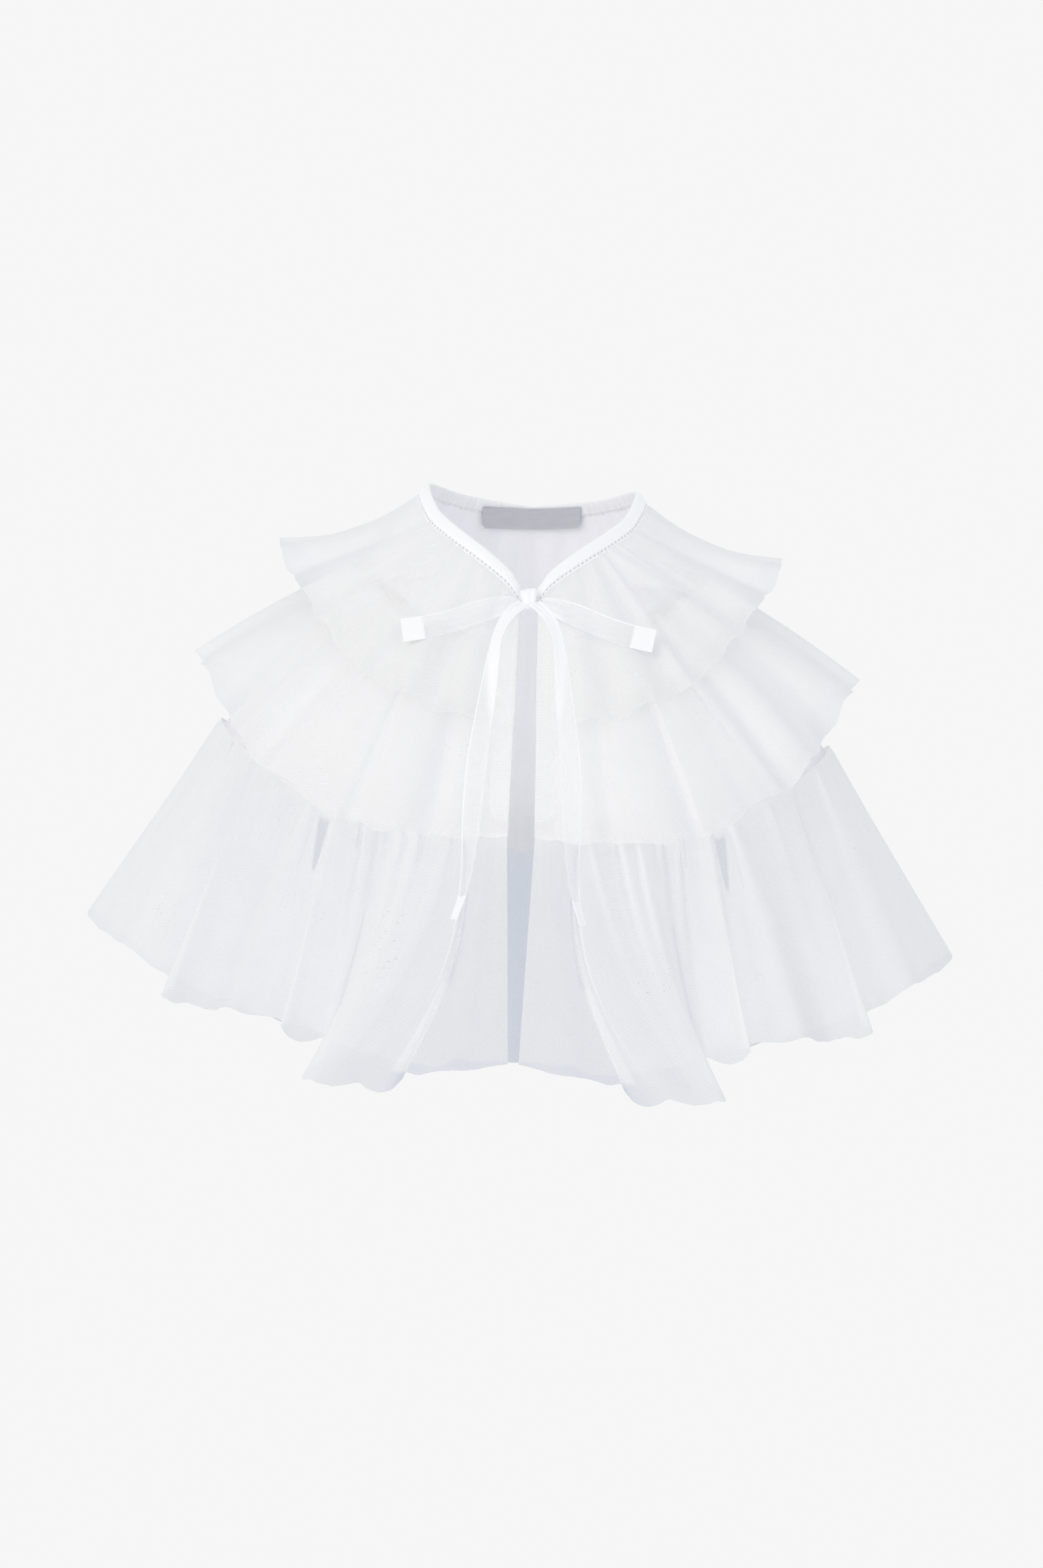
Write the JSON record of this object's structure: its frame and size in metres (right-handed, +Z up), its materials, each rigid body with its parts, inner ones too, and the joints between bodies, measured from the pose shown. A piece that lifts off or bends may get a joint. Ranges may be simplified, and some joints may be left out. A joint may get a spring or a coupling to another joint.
{
  "type": "layered net collar",
  "caption": "Shoulder cape of gathered sheer net tiers on a lining, with a satin-bound neckline and a ribbon tie, open down the front.",
  "frame": {"origin": "middle of the neck opening, level with the highest points of the neckline at the sides", "axes": "+X to the right as seen from the front, +Y to the back, +Z up; the front opening and the tie face -Y"},
  "size_m": [0.5426, 0.3936, 0.3805],
  "materials": {
    "net": "stiff sheer nylon net, white, matt",
    "lining": "opaque plain-weave lining, white, matt",
    "satin": "white satin bias binding with a soft sheen",
    "organza": "sheer organza ribbon, white, crisp, with hemmed ends",
    "label_satin": "plain grey woven satin label, bare"
  },
  "bodies": {
    "root": {"base_cape": "lining", "ruffle_top": "net", "ruffle_middle": "net", "ruffle_bottom": "net", "neck_binding": "satin", "front_facing_left": "net", "front_facing_right": "net", "neck_label": "label_satin", "tie_knot": "organza", "tie_end_left": "organza", "tie_end_right": "organza", "tie_tail_left": "organza", "tie_tail_right": "organza"}
  },
  "joints": []
}
